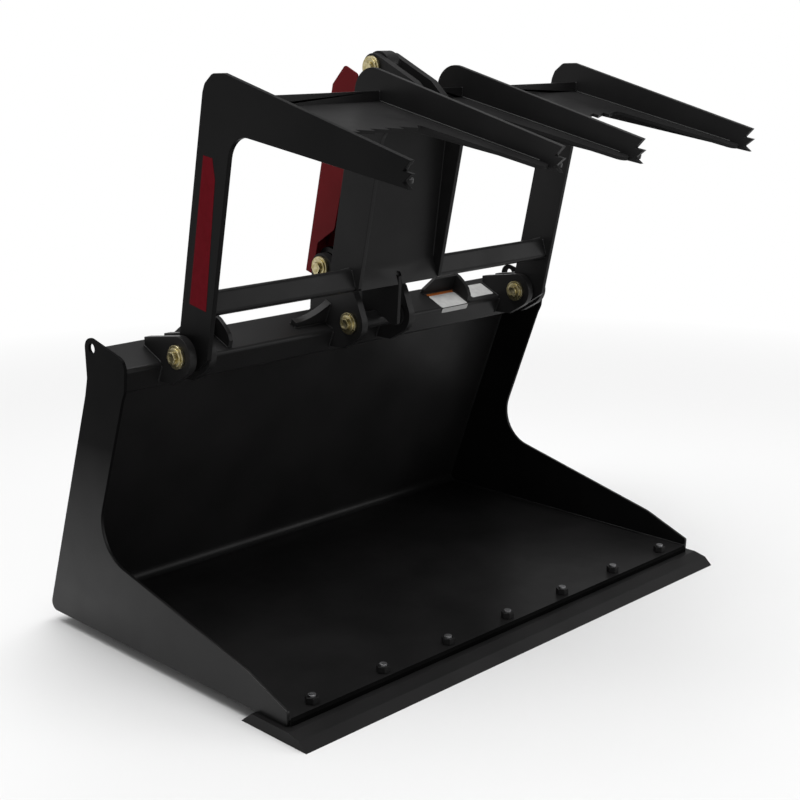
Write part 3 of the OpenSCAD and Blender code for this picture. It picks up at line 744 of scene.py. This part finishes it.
def flanged_bolt(name, centre, body):
    """A flange and a hexagon head that look along -X from a pin's head."""
    bpy.ops.object.select_all(action="DESELECT")
    flange = lying_cylinder(flange_sides, flange_radius, flange_height, centre)
    hexagon = lying_cylinder(6, hexagon_radius, hexagon_height,
                             centre + Vector((-flange_height, 0, 0)))
    bpy.ops.object.mode_set(mode="EDIT")
    bpy.ops.mesh.select_mode(type="FACE")
    bpy.ops.mesh.select_all(action="DESELECT")
    bpy.ops.object.mode_set(mode="OBJECT")
    for face in hexagon.data.polygons:
        face.select = face.normal.x < facing_left
    bpy.ops.object.mode_set(mode="EDIT")
    bpy.ops.mesh.inset(thickness=recess_border)
    bpy.ops.mesh.inset(thickness=recess_slope, depth=-recess_depth)
    bpy.ops.object.mode_set(mode="OBJECT")
    for piece, width in ((flange, flange_rim), (hexagon, hexagon_rim)):
        bpy.context.view_layer.objects.active = piece
        rim = piece.modifiers.new("rim", "BEVEL")
        rim.width = width
        rim.segments = 2
        rim.angle_limit = deg(bolt_corner)
        bpy.ops.object.modifier_apply(modifier=rim.name)
    bpy.ops.object.select_all(action="DESELECT")
    flange.select_set(True)
    hexagon.select_set(True)
    bpy.context.view_layer.objects.active = flange
    bpy.ops.object.join()
    bolt = bpy.context.object
    bolt.name = name
    bpy.ops.object.transform_apply(location=True, rotation=True, scale=True)
    bpy.ops.object.shade_smooth_by_angle(angle=deg(bolt_smooth))
    bolt.data.materials.clear()
    bolt.data.materials.append(gold_zinc)
    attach(bolt, body)


base_pin = (-207, 880)
rod_pin = (-350, 1384)
pin_heads = {
    "left_pin_bolt": (-644, hinge_line, "bucket"),
    "centre_pin_bolt": (-103, hinge_line, "bucket"),
    "right_pin_bolt": (551, hinge_line, "bucket"),
    "base_pin_bolt": (-103, base_pin, "bucket"),
    "rod_pin_bolt": (-48, rod_pin, "grapple"),
}
for name, (head, line, body) in pin_heads.items():
    flanged_bolt(name, seat(head, *line), body)
print("bolts on", len(pin_heads), "pins")

# %% [markdown]
# ## Plain stripe and labels
# The left arm carries a dark red stripe, and the tube two pale labels, one of them
# with an amber band and folded over the tube's front edge. Each is a thin plain film
# on the steel with its corners cut: a flat face set to its corner points and given a
# thickness.
# %% Thin films on the steel
film_thickness = 0.0004
corner_cut = 3
colour_mottle = 60
gloss_mottle = 150
grain_scale = 500
grain_depth = 0.00004


def thin_sheet(name, corners, body, material):
    """A flat film through corner points, a hair proud of the steel it lies on."""
    bpy.ops.object.select_all(action="DESELECT")
    bpy.ops.mesh.primitive_circle_add(
        vertices=len(corners), radius=0.05, fill_type="NGON", location=(0, 0, 0))
    sheet = bpy.context.object
    sheet.name = name
    for corner, place in zip(sheet.data.vertices, corners):
        corner.co = place
    sheet.data.update()
    film = sheet.modifiers.new("film", "SOLIDIFY")
    film.thickness = film_thickness
    film.offset = 1
    bpy.ops.object.modifier_apply(modifier=film.name)
    bpy.ops.object.mode_set(mode="EDIT")
    bpy.ops.mesh.select_all(action="SELECT")
    bpy.ops.mesh.normals_make_consistent(inside=False)
    bpy.ops.object.mode_set(mode="OBJECT")
    sheet.data.materials.append(material)
    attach(sheet, body)


def vinyl(name, first, second, gloss):
    """A plain film with a slight mottle in its colour and its gloss."""
    material, tree, shader = new_material(name)
    shader.inputs["Specular IOR Level"].default_value = 0.02
    mottle = spread(tree, noise(tree, colour_mottle), 0, 1)
    tree.links.new(blend_colors(tree, mottle, first, second), shader.inputs["Base Color"])
    tree.links.new(spread(tree, noise(tree, gloss_mottle), gloss - 0.05, gloss + 0.05),
                   shader.inputs["Roughness"])
    bump(tree, shader, noise(tree, grain_scale, detail=2), grain_depth, strength=0.3)
    return material


def tube_sheet(name, left, right, low, high, material):
    """A label on the tube's top face with its four corners cut."""
    in_left, in_right = left + corner_cut, right - corner_cut
    in_low, in_high = low + corner_cut, high - corner_cut
    outline = [(in_left, low), (in_right, low), (right, in_low), (right, in_high),
               (in_right, high), (in_left, high), (left, in_high), (left, in_low)]
    thin_sheet(name, [tube_seat(x, up, 0) for x, up in outline],
               "bucket", material)


red_vinyl = vinyl("red_vinyl", (0.085, 0.0012, 0.004), (0.1, 0.002, 0.006), 0.45)
pale_vinyl = vinyl("pale_vinyl", (0.3, 0.3, 0.295), (0.36, 0.36, 0.355), 0.4)
amber_vinyl = vinyl("amber_vinyl", (0.3, 0.085, 0.02), (0.34, 0.1, 0.026), 0.4)

outer_face = -outer_tine - half_plate
stripe = [(-436.9, 1156.3), (-430.4, 1202.9), (-398.6, 1208.3), (-324.1, 867.8),
          (-384.8, 856.2)]
thin_sheet("arm_stripe", [seat(outer_face, y, z) for y, z in stripe],
           "grapple", red_vinyl)

wide_left, wide_right = 317, 421
labels = {
    "tube_label_wide": (wide_left, wide_right, 2, 62, pale_vinyl),
    "tube_label_band": (wide_left, wide_right, 62.5, 75, amber_vinyl),
    "tube_label_small": (462, 553, 22, 78, pale_vinyl),
}
for name, (left, right, low, high, material) in labels.items():
    tube_sheet(name, left, right, low, high, material)

fold_top, fold_bottom = -1.6, -16
fold = [(wide_left, fold_top), (wide_left, fold_bottom + corner_cut),
        (wide_left + corner_cut, fold_bottom), (wide_right - corner_cut, fold_bottom),
        (wide_right, fold_bottom + corner_cut), (wide_right, fold_top)]
thin_sheet("tube_label_fold", [tube_seat(x, 0, off) for x, off in fold],
           "bucket", pale_vinyl)
print("stripe and labels laid")
